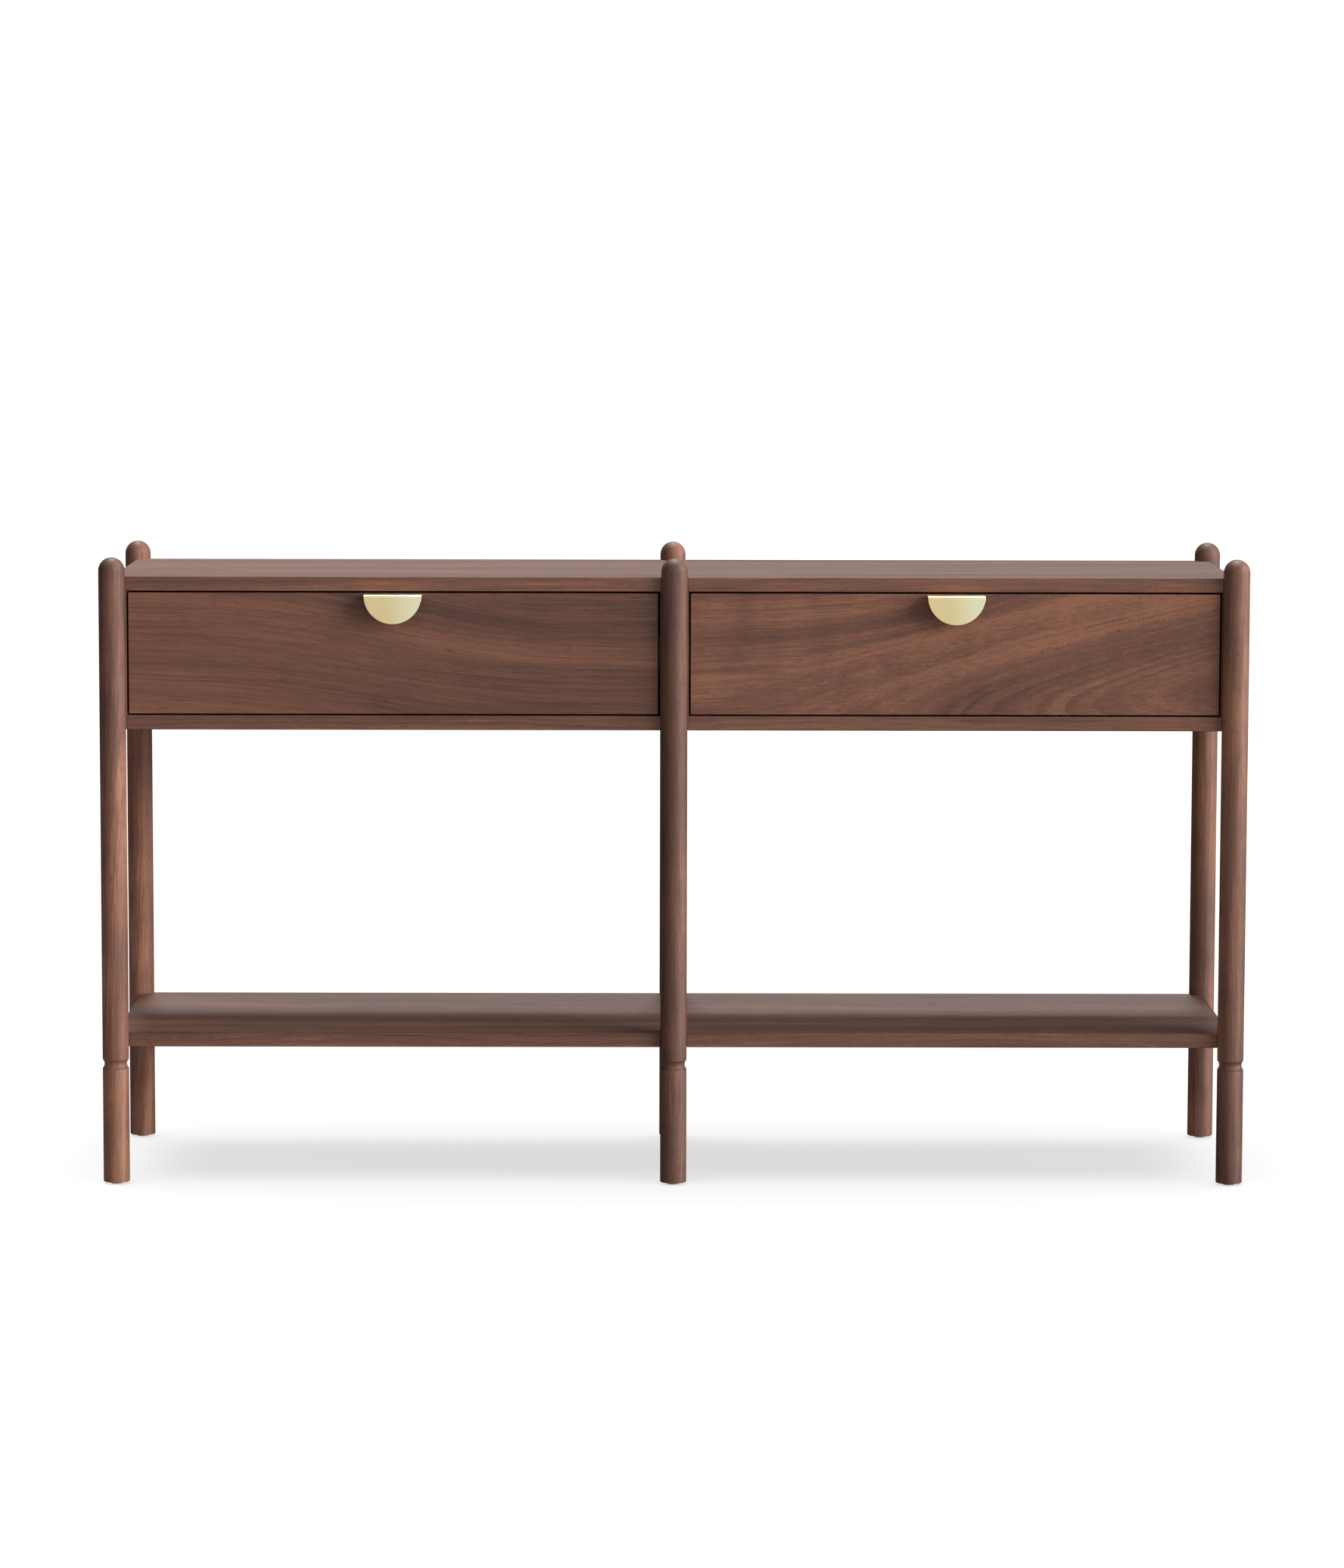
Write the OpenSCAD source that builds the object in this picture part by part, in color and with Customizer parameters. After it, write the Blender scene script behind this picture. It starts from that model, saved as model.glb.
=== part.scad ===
// Console table: turned posts carry a case with two drawers and a low shelf.
// Origin at floor level, midway between the posts. X to the right, Y to the back, Z up.
// The drawers open towards -Y. All sizes are in millimetres.

/* [Overall size] */
// Width over the corner posts
table_w = 1520; // [1200:10:1800]
// Depth over the posts
table_d = 400; // [385:5:480]
// Height of the tops of the posts above the floor
table_h = 836; // [780:1:900]

/* [Posts and feet] */
// Diameter of the turned posts and feet
post_d = 35; // [34:1:40]
// How far the posts stand above the top board
post_rise = 25; // [22:1:60]
// Height of the joint between the feet and the posts above the floor
foot_joint_z = 155.5; // [120:0.5:165]
// Height of the cove turned round each post just above that joint
cove_h = 12; // [8:0.5:14]
// Depth of the cove
cove_depth = 2.5; // [1.5:0.5:3]
// Diameter of the pads under the feet
glide_d = 16; // [14:1:24]
// Height of the pads under the feet
glide_h = 3; // [2:0.5:5]

/* [Case and shelf] */
// Thickness of the top, bottom, sides, dividers, shelf and drawer fronts
board_t = 19; // [18:1:20]
// Height of the case, top and bottom boards included
case_h = 203; // [195:1:230]
// Height of the shelf's upper face above the floor
shelf_z = 203; // [200:1:280]
// Thickness of the back panels
back_t = 6; // [5:0.5:8]
// Distance from the rear edge of the case to the back panels
back_inset = 14; // [13:0.5:16]

/* [Drawers] */
// Gap round each drawer front
reveal = 2.5; // [2:0.5:4]
// Thickness of the drawer box boards
box_t = 12; // [12:1:15]
// Height of the drawer box boards
box_h = 130; // [120:1:132]
// Thickness of the drawer bottoms
bottom_t = 6; // [4:0.5:6]
// Length of the drawer slides, which is also their travel
slide_l = 300; // [250:50:300]
// Width of one slide between the case and the drawer box
slide_w = 12.7; // [12.7:0.1:13.5]

/* [Pulls] */
// Width of the half-round pulls
pull_w = 76; // [64:1:96]
// Distance from the drawer front to the outer face of the pull
pull_reach = 26; // [20:1:32]
// Thickness of the metal of the pull
pull_t = 2.5; // [2:0.5:4]
// Distance from the top edge of the drawer front down to the pull
pull_drop = 1.5; // [1:0.5:6]
// Distance between the two screws of a pull
pull_screw_pitch = 32; // [24:1:40]

/* [Hidden] */
$fn = 64;

// Sides of the table, and the two drawer bays
left = -1;
center = 0;
right = 1;
front = -1;
rear = 1;
both = [-1, 1];

// Colours
walnut = "#6f4a3a";
birch = "#cdb184";
beech = "#d8b98c";
satin_brass = "#d2c08a";
zinc = "#47474c";
grey_nylon = "#c9c6c0";

// Posts: axis spacing and heights
post_r = post_d / 2;
pitch = (table_w - post_d) / 2;
half_d = (table_d - post_d) / 2;
dome_z = table_h - post_r;
cove_z = foot_joint_z + cove_h / 2;
cove_r = (cove_h * cove_h / 4 + cove_depth * cove_depth) / (2 * cove_depth);

// Case and shelf: their outer faces pass through the post axes, and they are cut round the posts
post_gap = 0.1;
case_top = table_h - post_rise;
case_bottom = case_top - case_h;
bay_z0 = case_bottom + board_t;
bay_z1 = case_top - board_t;
bay_w = pitch - 2 * board_t;
bay_x = pitch / 2;
back_y = half_d - back_inset - back_t;
groove_depth = board_t / 3;
groove_gap = 0.5;
slip = 0.1;

// Drawer fronts and boxes
front_w = bay_w - 2 * reveal;
front_z0 = bay_z0 + reveal;
front_z1 = bay_z1 - reveal;
front_back_y = -half_d + board_t;
box_w = bay_w - 2 * slide_w;
box_lift = 13;
box_z0 = bay_z0 + box_lift;
box_z1 = box_z0 + box_h;
box_l = slide_l + 10;
box_rear_y = front_back_y + box_l;
bottom_z = box_z0 + 10;
bottom_groove = box_t / 2;

// Slides: three nested channels of folded steel
slide_z = (bay_z0 + bay_z1) / 2;
slide_y0 = front_back_y + 3.5;
slide_y1 = slide_y0 + slide_l;
steel_t = 1.2;
rail_h = 45;
nest_gap = 0.6;
nest_step = steel_t + nest_gap;
lip_end = 3.1;

// Pull
pull_r = pull_w / 2;
pull_top = front_z1 - pull_drop;
pull_face_y = -half_d - pull_reach;
boss_r = 4.5;
boss_z = pull_top - pull_t - boss_r + 0.5;
boss_bore_l = 16;

// Dowels, screws and studs, with the clearance of the holes they sit in
hole_gap = 0.05;
end_gap = 0.5;
dowel_d = 6;
edge_in = 7;
corner_dowel_start = 2;
center_dowel_x = board_t / 2;
center_dowel_start = -1;
post_dowel_l = 30;
case_dowel_d = 8;
case_dowel_up = 12;
case_dowel_l = 30;
case_dowel_y = 120;
box_dowel_l = 28;
post_screw_d = 4;
post_screw_l = 30;
post_screw_head_d = 7;
post_screw_in = 10;
stud_d = 8;
stud_up = 25;
stud_down = 22;
insert_d = 12;
insert_l = 25;
slide_screw_d = 3.5;
slide_screw_l = 11;
slide_screw_head_d = 6.4;
slide_screw_head_h = 0.9;
pull_screw_d = 4;
pull_screw_head_d = 8;
pull_screw_head_h = 2.4;
pull_screw_reach = 12;
nail_d = 2.5;
nail_l = 15;
recess_w = 0.9;

// Heights and depths where the dowels and screws repeat
corner_dowel_zs = [shelf_z - board_t / 2, case_bottom + board_t / 2, case_top - board_t / 2];
center_dowel_zs = [shelf_z - board_t / 2, bay_z0 + 35, bay_z1 - 35];
post_screw_zs = [bay_z0 + 22, bay_z1 - 22];
slide_screw_ys = [slide_y0 + 20, (slide_y0 + slide_y1) / 2, slide_y1 - 20];
box_dowel_zs = [box_z0 + 32, box_z1 - 22];

// ---- Placement ----

// Puts a shape drawn for the front left corner, inward being +X and +Y, at another corner
module at_corner(sx, sy) {
  translate([sx * pitch, sy * half_d, 0])
    mirror([sx > 0 ? 1 : 0, 0, 0]) mirror([0, sy > 0 ? 1 : 0, 0]) children();
}

module at_every_corner() {
  for (sx = both, sy = both) at_corner(sx, sy) children();
}

module at_front_and_rear_center() {
  for (sy = both) at_corner(center, sy) children();
}

module at_every_post() {
  for (sx = [left, center, right], sy = both) at_corner(sx, sy) children();
}

// Puts a shape drawn against the left wall of a bay, +X pointing into the bay, at one of its walls
module at_bay_wall(bay, wall) {
  translate([bay * bay_x + wall * bay_w / 2, 0, 0])
    mirror([wall > 0 ? 1 : 0, 0, 0]) children();
}

module box(x0, x1, y0, y1, z0, z1) {
  translate([x0, y0, z0]) cube([x1 - x0, y1 - y0, z1 - z0]);
}

// A cylinder from a point along +X or +Y
module rod_x(x, y, z, r, l) { translate([x, y, z]) rotate([0, 90, 0]) cylinder(r = r, h = l); }
module rod_y(x, y, z, r, l) { translate([x, y, z]) rotate([-90, 0, 0]) cylinder(r = r, h = l); }

// ---- Fasteners, drawn larger by gap where they cut their own holes ----

// Dowels from the corner posts into the ends of the shelf and the case boards
module corner_dowels(gap = 0, ends = 0) {
  at_every_corner() for (z = corner_dowel_zs)
    rod_x(corner_dowel_start - ends, edge_in, z, dowel_d / 2 + gap, post_dowel_l + 2 * ends);
}

// Dowels from the centre posts into the shelf and the divider boards
module center_dowels(gap = 0, ends = 0) {
  at_front_and_rear_center() for (x = both, z = center_dowel_zs)
    rod_y(x * center_dowel_x, center_dowel_start - ends, z,
      dowel_d / 2 + gap, post_dowel_l + 2 * ends);
}

// Upright dowels that join the case's sides and dividers to its top and bottom
module upright_dowels(gap = 0, ends = 0) {
  xs = [-pitch + board_t / 2, -board_t / 2, board_t / 2, pitch - board_t / 2];
  starts = [bay_z0 - case_dowel_up, bay_z1 + case_dowel_up - case_dowel_l];
  for (x = xs, y = [-case_dowel_y, case_dowel_y], z = starts)
    translate([x, y, z - ends])
      cylinder(d = case_dowel_d + 2 * gap, h = case_dowel_l + 2 * ends);
}

// Countersunk screws from inside the case's sides into the corner posts
module corner_screws(gap = 0) {
  head_r = post_screw_head_d / 2 + gap;
  shank_r = post_screw_d / 2 + gap;
  at_every_corner() for (z = post_screw_zs) {
    rod_x(board_t - post_screw_l, post_screw_in, z, shank_r, post_screw_l);
    translate([board_t - (head_r - shank_r), post_screw_in, z])
      rotate([0, 90, 0]) cylinder(r1 = shank_r, r2 = head_r, h = head_r - shank_r);
  }
}

// A cross recess for a driver, its mouth at the origin, cut along -Z
module cross_recess(w, depth) {
  for (a = [0, 90]) rotate(a) translate([-w / 2, -recess_w / 2, -depth]) cube([w, recess_w, depth + 1]);
}

// Pan-headed screw of a slide: the head's underside is at the origin and the shank points along -X
module slide_screw(gap = 0, head = true) {
  rod_x(-slide_screw_l, 0, 0, slide_screw_d / 2 + gap, slide_screw_l + (head ? 0.1 : 1));
  if (head) difference() {
    rod_x(0, 0, 0, slide_screw_head_d / 2, slide_screw_head_h);
    translate([slide_screw_head_h, 0, 0]) rotate([0, 90, 0]) cross_recess(3.6, 0.6);
  }
}

// Screws through the rails into the walls of the bays
module all_rail_screws(gap = 0, head = true) {
  for (bay = both, wall = both, y = slide_screw_ys)
    at_bay_wall(bay, wall) translate([steel_t, y, slide_z]) slide_screw(gap, head);
}

// Screws through the runners into the sides of one drawer box
module runner_screws(bay, gap = 0, head = true) {
  for (wall = both, y = slide_screw_ys)
    at_bay_wall(bay, wall) translate([slide_w - steel_t, y, slide_z])
      mirror([1, 0, 0]) slide_screw(gap, head);
}

// Dowels that join the corners of one drawer box
module box_dowels(bay, gap = 0, ends = 0) {
  r = dowel_d / 2 + gap;
  for (wall = both, z = box_dowel_zs) at_bay_wall(bay, wall) {
    rod_y(slide_w + box_t / 2, front_back_y - 10 - ends, z, r, box_dowel_l + 2 * ends);
    rod_x(slide_w + box_t - 8 - ends, box_rear_y - box_t / 2, z, r, box_dowel_l + 2 * ends);
  }
}

// Screws from inside one drawer front into the bosses of its pull
module pull_screws(bay, gap = 0) {
  for (x = both) translate([bay * bay_x + x * pull_screw_pitch / 2, front_back_y, boss_z]) {
    shank_l = board_t + pull_screw_reach;
    rod_y(0, -shank_l, 0, pull_screw_d / 2 + gap, shank_l + 0.1);
    if (gap == 0) difference() {
      rod_y(0, 0, 0, pull_screw_head_d / 2, pull_screw_head_h);
      translate([0, pull_screw_head_h, 0]) rotate([-90, 0, 0]) cross_recess(4.6, 1.4);
    }
  }
}

// ---- Posts and feet ----

// A post on the Z axis: dome on top, cove at the foot joint, bore for the stud from below
module turned_post() {
  difference() {
    union() {
      translate([0, 0, foot_joint_z]) cylinder(r = post_r, h = dome_z - foot_joint_z);
      translate([0, 0, dome_z]) sphere(r = post_r);
    }
    translate([0, 0, cove_z]) rotate_extrude()
      translate([post_r - cove_depth + cove_r, 0]) circle(r = cove_r);
    translate([0, 0, foot_joint_z - 1])
      cylinder(d = stud_d + 2 * hole_gap, h = 1 + stud_up + end_gap);
  }
}

module post(sx, sy) {
  color(walnut) difference() {
    at_corner(sx, sy) turned_post();
    if (sx == center) {
      center_dowels(hole_gap, end_gap);
    } else {
      corner_dowels(hole_gap, end_gap);
      corner_screws(hole_gap);
    }
  }
}

// A foot below the joint, bored for its insert from above and for the pad's nail from below
module foot(sx, sy) {
  color(walnut) at_corner(sx, sy) difference() {
    translate([0, 0, glide_h]) cylinder(r = post_r, h = foot_joint_z - glide_h);
    translate([0, 0, foot_joint_z - insert_l]) cylinder(d = insert_d + 2 * hole_gap, h = insert_l + 1);
    translate([0, 0, glide_h - 1]) cylinder(d = nail_d + 2 * hole_gap, h = 1 + nail_l + end_gap);
  }
}

// Nail-on pads, each one moulding round its nail
module foot_glides() {
  edge = 0.8;
  color(grey_nylon) at_every_post() {
    cylinder(r1 = glide_d / 2 - edge, r2 = glide_d / 2, h = edge);
    translate([0, 0, edge]) cylinder(d = glide_d, h = glide_h - edge);
    cylinder(d = nail_d, h = glide_h + nail_l);
  }
}

// Studs fixed in the posts; the feet screw on to them
module foot_studs() {
  color(zinc) at_every_post()
    translate([0, 0, foot_joint_z - stud_down]) cylinder(d = stud_d, h = stud_down + stud_up);
}

// Threaded sleeves fixed in the feet
module foot_inserts() {
  color(zinc) at_every_post() translate([0, 0, foot_joint_z - insert_l]) difference() {
    cylinder(d = insert_d, h = insert_l);
    translate([0, 0, -1]) cylinder(d = stud_d + 2 * hole_gap, h = insert_l + 2);
  }
}

// ---- Case and shelf ----

// Space of the back panel of one bay, larger by gap on its edges and by ease on its faces
module back_space(bay, gap, ease) {
  reach = groove_depth - groove_gap + gap;
  translate([bay * bay_x, 0, 0])
    box(-bay_w / 2 - reach, bay_w / 2 + reach, back_y - ease, back_y + back_t + ease,
      bay_z0 - reach, bay_z1 + reach);
}

module back_grooves() {
  for (bay = both) back_space(bay, groove_gap, slip);
}

// What every board gives up to the posts it meets
module post_room() {
  at_every_post() cylinder(r = post_r + post_gap, h = table_h);
}

// A board over the whole plan of the case or the shelf
module full_board(z0) {
  difference() {
    box(-pitch, pitch, -half_d, half_d, z0, z0 + board_t);
    post_room();
  }
}

module case_board(z0) {
  color(walnut) difference() {
    full_board(z0);
    corner_dowels(hole_gap, end_gap);
    upright_dowels(hole_gap, end_gap);
    back_grooves();
  }
}

module shelf() {
  color(walnut) difference() {
    full_board(shelf_z - board_t);
    corner_dowels(hole_gap, end_gap);
    center_dowels(hole_gap, end_gap);
  }
}

// An upright board of the case, from x0 to x0 plus its thickness
module upright_board(x0) {
  color(walnut) difference() {
    box(x0, x0 + board_t, -half_d, half_d, bay_z0, bay_z1);
    post_room();
    upright_dowels(hole_gap, end_gap);
    back_grooves();
    all_rail_screws(hole_gap, false);
    if (abs(x0 + board_t / 2) > board_t) corner_screws(hole_gap);
    else center_dowels(hole_gap, end_gap);
  }
}

module back_panel(bay) {
  color(walnut) back_space(bay, 0, 0);
}

module case_dowels() { color(beech) upright_dowels(); }

module post_dowels() {
  color(beech) {
    corner_dowels();
    center_dowels();
  }
}

module post_screws() {
  color(zinc) difference() {
    corner_screws();
    at_every_corner() for (z = post_screw_zs)
      translate([board_t, post_screw_in, z]) rotate([0, 90, 0]) cross_recess(3.8, 1.4);
  }
}

// ---- Slides ----

// A channel on the left wall of a bay: its web starts at s and its lips end at s_end
module channel(s, s_end, h, t) {
  translate([0, slide_y1, slide_z]) rotate([90, 0, 0]) linear_extrude(slide_l) difference() {
    translate([s, -h / 2]) square([s_end - s, h]);
    translate([s + t, t - h / 2]) square([s_end - s, h - 2 * t]);
  }
}

// The outer channel, screwed to the wall of the bay
module rail(bay, wall) {
  color(zinc) difference() {
    at_bay_wall(bay, wall) channel(0, slide_w - lip_end, rail_h, steel_t);
    all_rail_screws(hole_gap, false);
  }
}

// The middle channel, which travels half as far as the drawer
module slider(bay, wall) {
  color(zinc) at_bay_wall(bay, wall)
    channel(steel_t + 1.2, slide_w - lip_end, rail_h - 2 * nest_step, steel_t);
}

// The inner channel, screwed to the drawer box, its web towards the box
module runner(bay, wall) {
  color(zinc) difference() {
    at_bay_wall(bay, wall) translate([slide_w, 0, 0]) mirror([1, 0, 0])
      channel(0, slide_w - 2 * steel_t - 2.2, rail_h - 4 * nest_step, steel_t);
    runner_screws(bay, hole_gap, false);
  }
}

module rail_screws() { color(zinc) all_rail_screws(); }
module drawer_runner_screws(bay) { color(zinc) runner_screws(bay); }

// ---- Drawers ----

// Space of a drawer's bottom, larger by gap on its edges and by ease on its faces
module bottom_space(bay, gap, ease) {
  reach = bottom_groove - groove_gap + gap;
  half_w = box_w / 2 - box_t + reach;
  translate([bay * bay_x, 0, 0])
    box(-half_w, half_w, front_back_y - reach, box_rear_y - box_t + reach,
      bottom_z - ease, bottom_z + bottom_t + ease);
}

module drawer_front(bay) {
  color(walnut) difference() {
    translate([bay * bay_x, 0, 0])
      box(-front_w / 2, front_w / 2, -half_d, front_back_y, front_z0, front_z1);
    bottom_space(bay, groove_gap, slip);
    box_dowels(bay, hole_gap, end_gap);
    pull_screws(bay, 0.2);
  }
}

module drawer_side(bay, wall) {
  color(birch) difference() {
    at_bay_wall(bay, wall)
      box(slide_w, slide_w + box_t, front_back_y, box_rear_y, box_z0, box_z1);
    bottom_space(bay, groove_gap, slip);
    box_dowels(bay, hole_gap, end_gap);
    runner_screws(bay, hole_gap, false);
  }
}

module drawer_back(bay) {
  half_w = box_w / 2 - box_t;
  color(birch) difference() {
    translate([bay * bay_x, 0, 0])
      box(-half_w, half_w, box_rear_y - box_t, box_rear_y, box_z0, box_z1);
    bottom_space(bay, groove_gap, slip);
    box_dowels(bay, hole_gap, end_gap);
  }
}

module drawer_bottom(bay) { color(birch) bottom_space(bay, 0, 0); }
module drawer_dowels(bay) { color(beech) box_dowels(bay); }
module drawer_pull_screws(bay) { color(zinc) pull_screws(bay); }

// Half-round plate hung from a ledge, with two tapped bosses that reach back to the drawer front
module drawer_pull(bay) {
  plate_back_y = pull_face_y + pull_t;
  depth = -half_d - plate_back_y;
  color(satin_brass) translate([bay * bay_x, 0, 0]) difference() {
    union() {
      intersection() {
        rod_y(0, pull_face_y, pull_top, pull_r, pull_t);
        box(-pull_w, pull_w, pull_face_y - 1, plate_back_y + 1, pull_top - pull_w, pull_top);
      }
      box(-pull_r, pull_r, plate_back_y, -half_d, pull_top - pull_t, pull_top);
      for (x = both) rod_y(x * pull_screw_pitch / 2, plate_back_y, boss_z, boss_r, depth);
    }
    for (x = both)
      rod_y(x * pull_screw_pitch / 2, -half_d - boss_bore_l, boss_z,
        pull_screw_d / 2 + hole_gap, boss_bore_l + 1);
  }
}

// ---- Nodes ----

post(left, front);  // post_front_left
post(center, front);  // post_front_center
post(right, front);  // post_front_right
post(left, rear);  // post_rear_left
post(center, rear);  // post_rear_center
post(right, rear);  // post_rear_right
foot(left, front);  // foot_front_left
foot(center, front);  // foot_front_center
foot(right, front);  // foot_front_right
foot(left, rear);  // foot_rear_left
foot(center, rear);  // foot_rear_center
foot(right, rear);  // foot_rear_right
foot_glides();
foot_studs();
foot_inserts();
case_board(bay_z1);  // top_board
case_board(case_bottom);  // bottom_board
upright_board(-pitch);  // side_board_left
upright_board(pitch - board_t);  // side_board_right
upright_board(-board_t);  // divider_board_left
upright_board(0);  // divider_board_right
back_panel(left);  // back_panel_left
back_panel(right);  // back_panel_right
shelf();
case_dowels();
post_dowels();
post_screws();
rail(left, left);  // rail_left_bay_left
rail(left, right);  // rail_left_bay_right
rail(right, left);  // rail_right_bay_left
rail(right, right);  // rail_right_bay_right
rail_screws();
slider(left, left);  // slider_left_bay_left
slider(left, right);  // slider_left_bay_right
slider(right, left);  // slider_right_bay_left
slider(right, right);  // slider_right_bay_right
drawer_front(left);  // drawer_left_front
drawer_side(left, left);  // drawer_left_side_left
drawer_side(left, right);  // drawer_left_side_right
drawer_back(left);  // drawer_left_back
drawer_bottom(left);  // drawer_left_bottom
drawer_dowels(left);  // drawer_left_dowels
drawer_pull(left);  // drawer_left_pull
drawer_pull_screws(left);  // drawer_left_pull_screws
runner(left, left);  // drawer_left_runner_left
runner(left, right);  // drawer_left_runner_right
drawer_runner_screws(left);  // drawer_left_runner_screws
drawer_front(right);  // drawer_right_front
drawer_side(right, left);  // drawer_right_side_left
drawer_side(right, right);  // drawer_right_side_right
drawer_back(right);  // drawer_right_back
drawer_bottom(right);  // drawer_right_bottom
drawer_dowels(right);  // drawer_right_dowels
drawer_pull(right);  // drawer_right_pull
drawer_pull_screws(right);  // drawer_right_pull_screws
runner(right, left);  // drawer_right_runner_left
runner(right, right);  // drawer_right_runner_right
drawer_runner_screws(right);  // drawer_right_runner_screws
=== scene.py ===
"""Looks of the console table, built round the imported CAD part. Lengths are in metres."""

import math

import bmesh
import bpy
from mathutils import Matrix, Vector


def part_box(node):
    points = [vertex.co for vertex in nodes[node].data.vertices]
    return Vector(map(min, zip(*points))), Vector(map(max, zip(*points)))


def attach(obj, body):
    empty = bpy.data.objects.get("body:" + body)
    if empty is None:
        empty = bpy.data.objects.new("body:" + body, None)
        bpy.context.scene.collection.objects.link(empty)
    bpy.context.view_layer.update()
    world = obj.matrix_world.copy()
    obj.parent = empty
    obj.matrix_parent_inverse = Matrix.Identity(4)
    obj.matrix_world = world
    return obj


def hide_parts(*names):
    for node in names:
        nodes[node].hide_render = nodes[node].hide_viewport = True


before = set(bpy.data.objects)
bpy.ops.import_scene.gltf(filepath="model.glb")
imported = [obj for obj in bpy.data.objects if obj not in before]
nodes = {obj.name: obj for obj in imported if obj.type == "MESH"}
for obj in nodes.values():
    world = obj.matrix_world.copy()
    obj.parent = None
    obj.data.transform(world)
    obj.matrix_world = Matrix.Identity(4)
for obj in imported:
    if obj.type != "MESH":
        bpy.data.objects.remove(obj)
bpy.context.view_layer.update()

SIDES = ("left", "center", "right")
BAYS = ("left", "right")
DEPTHS = ("front", "rear")
MM = 0.001


# ---- Node trees ----

def fill(tree, sockets, values):
    """Links or sets the sockets that have the values' keys."""
    for key, value in values.items():
        if isinstance(value, bpy.types.NodeSocket):
            tree.links.new(value, sockets[key])
        else:
            sockets[key].default_value = value


def add(tree, kind, inputs=None, **settings):
    """A shader node with its settings made and its inputs linked or set."""
    node = tree.nodes.new("ShaderNode" + kind)
    for name, value in settings.items():
        setattr(node, name, value)
    fill(tree, node.inputs, inputs or {})
    return node


def calc(tree, operation, *values, clamp=False):
    inputs = dict(enumerate(values))
    return add(tree, "Math", inputs, operation=operation, use_clamp=clamp).outputs[0]


def vector_calc(tree, operation, *values):
    node = add(tree, "VectorMath", dict(enumerate(values)), operation=operation)
    return node.outputs["Value" if operation == "LENGTH" else "Vector"]


def noise(tree, vector, detail=2.0, roughness=0.5, output="Fac"):
    inputs = {"Vector": vector, "Scale": 1.0, "Detail": detail, "Roughness": roughness}
    return add(tree, "TexNoise", inputs).outputs[output]


def stretched(tree, vector, scale):
    return vector_calc(tree, "MULTIPLY", vector, scale)


def scaled(tree, vector, factor):
    node = add(tree, "VectorMath", {0: vector, "Scale": factor}, operation="SCALE")
    return node.outputs["Vector"]


def remap(tree, value, low, high, to_low=0.0, to_high=1.0, smooth=True):
    inputs = {"Value": value, "From Min": low, "From Max": high, "To Min": to_low, "To Max": to_high}
    kind = "SMOOTHSTEP" if smooth else "LINEAR"
    return add(tree, "MapRange", inputs, interpolation_type=kind).outputs["Result"]


def ramp(tree, value, stops):
    node = add(tree, "ValToRGB", {"Fac": value})
    elements = node.color_ramp.elements
    while len(elements) < len(stops):
        elements.new(0.5)
    for element, (place, colour) in zip(elements, stops):
        element.position = place
        element.color = (*colour, 1.0)
    return node.outputs["Color"]


def mix_colour(tree, factor, a, b, blend="MIX"):
    node = add(tree, "Mix", data_type="RGBA", blend_type=blend)
    sockets = {socket.identifier: socket for socket in node.inputs}
    fill(tree, sockets, {"Factor_Float": factor, "A_Color": a, "B_Color": b})
    return next(socket for socket in node.outputs if socket.identifier == "Result_Color")


def new_material(name):
    material = bpy.data.materials.new(name)
    material.use_nodes = True
    tree = material.node_tree
    return material, tree, tree.nodes["Principled BSDF"]


def srgb(*channels):
    """Linear colour of sRGB red, green and blue from 0 to 255."""
    shares = [channel / 255 for channel in channels]
    return tuple(c / 12.92 if c <= 0.04045 else ((c + 0.055) / 1.055) ** 2.4 for c in shares)


# ---- Wood ----

# Noise scales are per metre, along the grain, across the face and into the board
SEED_SHIFT = (1.71, 2.37, 3.13)
SEED_STEP = 5.3
SWEEP_SCALE = (1.5, 5.0, 5.0)
SWEEP_SHIFT = (0.0, 45 * MM, 45 * MM)
RIPPLE_SCALE = (9.0, 26.0, 26.0)
RIPPLE_SHIFT = (0.0, 4 * MM, 4 * MM)
FIBRE_SCALE = (9.0, 420.0, 420.0)
PORE_SCALE = (75.0, 1150.0, 1150.0)
PORE_RANGE = (0.56, 0.70)
CURL_SCALE = (26.0, 9.0, 9.0)
MOTTLE_SCALE = (4.5, 16.0, 16.0)
# Along the grain and outwards from the pith
PATCH_SCALE = (1.6, 45.0)
BAND_SCALE = (0.5, 26.0)
# Shares of a ring at which it starts to darken and between which it is darkest
RING_DARKENS = 0.35
RING_DARKEST = (0.93, 0.94)
RING_NOISE = 0.45
RING_UNEVENNESS = 3.0
# Patches of weaker rings, and pores that get scarcer through a ring: from, to, shares left
PATCH_RANGE = (0.35, 0.7, 0.15, 1.0)
PORE_FADE = (0.0, 0.9, 1.0, 0.35)
# How far each feature moves the tone from its middle
MIDDLE_TONE = 0.55
BAND_TONE = 1.9
RING_TONE = -0.24
FIBRE_TONE = 0.7
# The surface in and between the pores
PORE_SHADE = 0.45
PORE_ROUGHNESS = 0.15
FIBRE_HEIGHT = 0.6
WOOD_BUMP = 0.35
WOOD_BUMP_DEPTH = 0.08 * MM


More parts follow.
